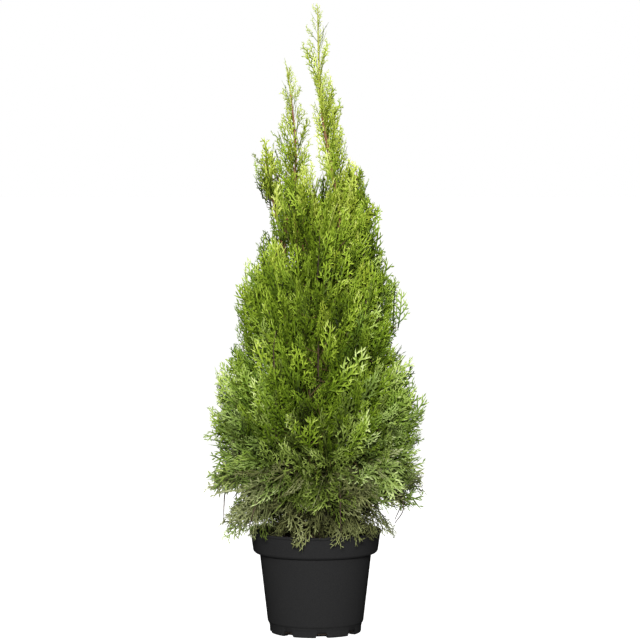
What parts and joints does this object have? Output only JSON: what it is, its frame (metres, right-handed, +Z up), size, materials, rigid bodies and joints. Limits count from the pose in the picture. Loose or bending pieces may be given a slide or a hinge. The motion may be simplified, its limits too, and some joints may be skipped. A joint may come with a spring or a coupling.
{
  "type": "potted thuja",
  "caption": "Young upright thuja with two leaders and layered scale-leaf foliage, growing in a black plastic nursery pot filled with compost.",
  "frame": {"origin": "middle of the pot's flat underside, on the surface that it stands on", "axes": "+Z up along the trunk, -Y to the front, +X to the right seen from the front"},
  "size_m": [0.3906, 0.3921, 1.101],
  "materials": {
    "pot_plastic": "moulded black plastic with a soft sheen",
    "soil": "dark crumbly compost",
    "bark": "reddish-brown fibrous bark",
    "young_bark": "smooth reddish-brown young bark",
    "skirt_foliage": "dull olive-green scale leaves, some brown",
    "lower_foliage": "mid-green scale leaves",
    "middle_foliage": "fresh green scale leaves",
    "upper_foliage": "light green scale leaves",
    "leader_foliage": "yellow-green new scale leaves"
  },
  "bodies": {
    "root": {"pot": "pot_plastic", "soil": "soil", "trunk": "bark", "second_leader": "bark", "skirt_bough_1": "young_bark", "skirt_bough_2": "young_bark", "skirt_bough_3": "young_bark", "skirt_bough_4": "young_bark", "skirt_bough_5": "young_bark", "skirt_bough_6": "young_bark", "skirt_bough_7": "young_bark", "lower_bough_1": "young_bark", "lower_bough_2": "young_bark", "lower_bough_3": "young_bark", "lower_bough_4": "young_bark", "lower_bough_5": "young_bark", "lower_bough_6": "young_bark", "middle_bough_1": "young_bark", "middle_bough_2": "young_bark", "middle_bough_3": "young_bark", "middle_bough_4": "young_bark", "middle_bough_5": "young_bark", "middle_bough_6": "young_bark", "upper_bough_1": "young_bark", "upper_bough_2": "young_bark", "upper_bough_3": "young_bark", "upper_bough_4": "young_bark", "upper_bough_5": "young_bark", "upper_bough_6": "young_bark", "skirt_foliage_1": "skirt_foliage", "skirt_foliage_2": "skirt_foliage", "skirt_foliage_3": "skirt_foliage", "skirt_foliage_4": "skirt_foliage", "skirt_foliage_5": "skirt_foliage", "skirt_foliage_6": "skirt_foliage", "skirt_foliage_7": "skirt_foliage", "lower_foliage_1": "lower_foliage", "lower_foliage_2": "lower_foliage", "lower_foliage_3": "lower_foliage", "lower_foliage_4": "lower_foliage", "lower_foliage_5": "lower_foliage", "lower_foliage_6": "lower_foliage", "middle_foliage_1": "middle_foliage", "middle_foliage_2": "middle_foliage", "middle_foliage_3": "middle_foliage", "middle_foliage_4": "middle_foliage", "middle_foliage_5": "middle_foliage", "middle_foliage_6": "middle_foliage", "upper_foliage_1": "upper_foliage", "upper_foliage_2": "upper_foliage", "upper_foliage_3": "upper_foliage", "upper_foliage_4": "upper_foliage", "upper_foliage_5": "upper_foliage", "upper_foliage_6": "upper_foliage", "leader_tip_foliage": "leader_foliage", "leader_foliage": "leader_foliage", "second_leader_foliage": "leader_foliage"}
  },
  "joints": []
}
